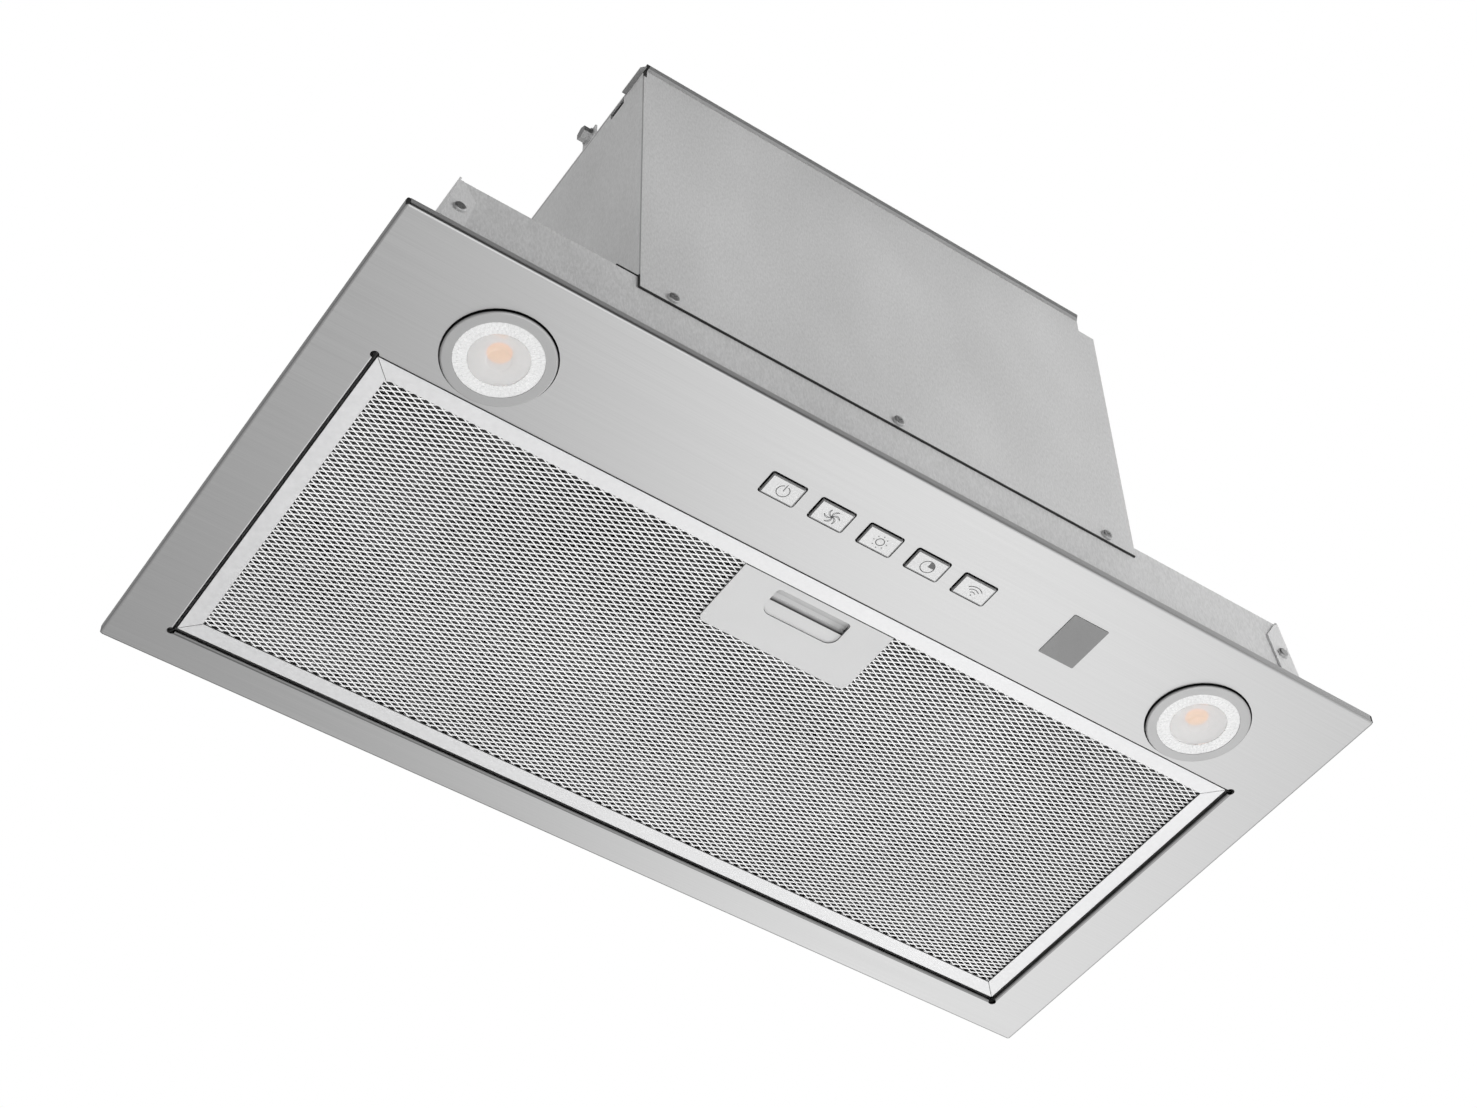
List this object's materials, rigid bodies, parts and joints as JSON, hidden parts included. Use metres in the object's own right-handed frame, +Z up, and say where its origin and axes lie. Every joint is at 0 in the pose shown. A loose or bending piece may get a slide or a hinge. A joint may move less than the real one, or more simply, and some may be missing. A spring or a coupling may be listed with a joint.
{
  "type": "range hood insert",
  "caption": "Built-in range hood insert: brushed fascia with lamps, push buttons and a hinged grease filter under a galvanised plenum and blower box with a damped duct collar.",
  "frame": {"origin": "centre of the fascia's underside, which faces down at the cook; lamps and buttons stand one to two millimetres proud of it", "axes": "+X to the cook's right along the fascia, +Y back to the wall, +Z up into the cabinet and the duct"},
  "size_m": [0.53, 0.282, 0.2878],
  "materials": {
    "brushed_stainless": "brushed along the length",
    "galvanised_steel": "fine galvanised spangle",
    "zinc_fastener": "bright zinc",
    "filter_aluminium": "bright satin",
    "filter_media": "layered expanded foil",
    "handle_grey": "satin",
    "button_face": "satin silver",
    "lamp_body": "satin silver",
    "lamp_lens": "ribbed white ring round a clear dome",
    "lamp_chip": "warm chip on a white board",
    "socket_ceramic": "matt",
    "display_lens": "smoked",
    "black_plastic": "matt",
    "circuit_board": "solder mask",
    "grey_plastic": "matt",
    "motor_iron": "painted",
    "rubber_mount": "matt",
    "wheel_plastic": "matt",
    "capacitor_can": "smooth"
  },
  "bodies": {
    "hood": {"fascia_panel": "brushed_stainless", "stud_nuts": "zinc_fastener", "plenum_shell": "galvanised_steel", "left_end_wall": "galvanised_steel", "right_end_wall": "galvanised_steel", "corner_rivets": "zinc_fastener", "box_wrap": "galvanised_steel", "box_front_panel": "galvanised_steel", "box_lid": "galvanised_steel", "front_panel_screws": "zinc_fastener", "lid_screws": "zinc_fastener", "earth_screw": "zinc_fastener", "cable_bushing": "black_plastic", "duct_collar": "galvanised_steel", "collar_screws": "zinc_fastener", "damper_rod": "zinc_fastener", "scroll_wrap": "galvanised_steel", "scroll_plate_left": "galvanised_steel", "scroll_plate_right": "galvanised_steel", "motor_body": "motor_iron", "motor_bracket": "galvanised_steel", "motor_mounts": "rubber_mount", "motor_screws": "zinc_fastener", "capacitor": "capacitor_can", "capacitor_strap": "galvanised_steel", "power_box": "grey_plastic", "power_box_cover": "grey_plastic", "driver_board": "circuit_board", "lamp_socket_left": "socket_ceramic", "lamp_socket_right": "socket_ceramic", "lamp_bracket_left": "galvanised_steel", "lamp_bracket_right": "galvanised_steel", "button_carrier": "black_plastic", "control_board": "circuit_board", "board_screws": "zinc_fastener", "board_switches": "black_plastic", "display_window": "display_lens", "display_module": "black_plastic"},
    "filter": {"filter_frame": "filter_aluminium", "filter_front_mesh": "filter_aluminium", "filter_back_mesh": "filter_aluminium", "filter_core": "filter_media", "filter_handle": "handle_grey", "latch_spring": "zinc_fastener"},
    "latch": {"latch_slider": "handle_grey"},
    "fan": {"fan_wheel": "wheel_plastic", "motor_shaft": "zinc_fastener"},
    "damper_front": {"damper_flap_front": "galvanised_steel"},
    "damper_rear": {"damper_flap_rear": "galvanised_steel"},
    "lamp_left": {"bulb_left": "lamp_body", "bulb_lens_left": "lamp_lens", "led_board_left": "lamp_chip"},
    "lamp_right": {"bulb_right": "lamp_body", "bulb_lens_right": "lamp_lens", "led_board_right": "lamp_chip"},
    "power_button": {"power_button": "button_face"},
    "fan_button": {"fan_button": "button_face"},
    "light_button": {"light_button": "button_face"},
    "timer_button": {"timer_button": "button_face"},
    "wireless_button": {"wireless_button": "button_face"}
  },
  "joints": [
    {"name": "filter_tilt", "type": "hinge", "parent": "hood", "child": "filter", "pos_m": [0, 0.12, 0.001], "axis": [1, 0, 0], "range_deg": [0, 60]},
    {"name": "latch_slide", "type": "slide", "parent": "filter", "child": "latch", "axis": [0, 1, 0], "range_m": [-0.0025, 0.004], "stiffness_N_per_m": 400, "deforming": ["latch_spring"]},
    {"name": "fan_spin", "type": "hinge", "parent": "hood", "child": "fan", "pos_m": [0, -0.0305, 0.166], "axis": [1, 0, 0], "continuous": true},
    {"name": "damper_front_swing", "type": "hinge", "parent": "hood", "child": "damper_front", "pos_m": [0, 0.027, 0.262], "axis": [-1, 0, 0], "range_deg": [0, 75]},
    {"name": "damper_rear_swing", "type": "hinge", "parent": "hood", "child": "damper_rear", "pos_m": [0, 0.027, 0.262], "axis": [1, 0, 0], "range_deg": [0, 75]},
    {"name": "lamp_left_twist", "type": "hinge", "parent": "hood", "child": "lamp_left", "pos_m": [-0.194, -0.095, 0], "axis": [0, 0, 1], "range_deg": [0, 25]},
    {"name": "lamp_right_twist", "type": "hinge", "parent": "hood", "child": "lamp_right", "pos_m": [0.194, -0.095, 0], "axis": [0, 0, 1], "range_deg": [0, 25]},
    {"name": "power_button_press", "type": "slide", "parent": "hood", "child": "power_button", "axis": [0, 0, 1], "range_m": [0, 0.0008], "stiffness_N_per_m": 1200, "springref_m": -0.0005},
    {"name": "fan_button_press", "type": "slide", "parent": "hood", "child": "fan_button", "axis": [0, 0, 1], "range_m": [0, 0.0008], "stiffness_N_per_m": 1200, "springref_m": -0.0005},
    {"name": "light_button_press", "type": "slide", "parent": "hood", "child": "light_button", "axis": [0, 0, 1], "range_m": [0, 0.0008], "stiffness_N_per_m": 1200, "springref_m": -0.0005},
    {"name": "timer_button_press", "type": "slide", "parent": "hood", "child": "timer_button", "axis": [0, 0, 1], "range_m": [0, 0.0008], "stiffness_N_per_m": 1200, "springref_m": -0.0005},
    {"name": "wireless_button_press", "type": "slide", "parent": "hood", "child": "wireless_button", "axis": [0, 0, 1], "range_m": [0, 0.0008], "stiffness_N_per_m": 1200, "springref_m": -0.0005}
  ]
}
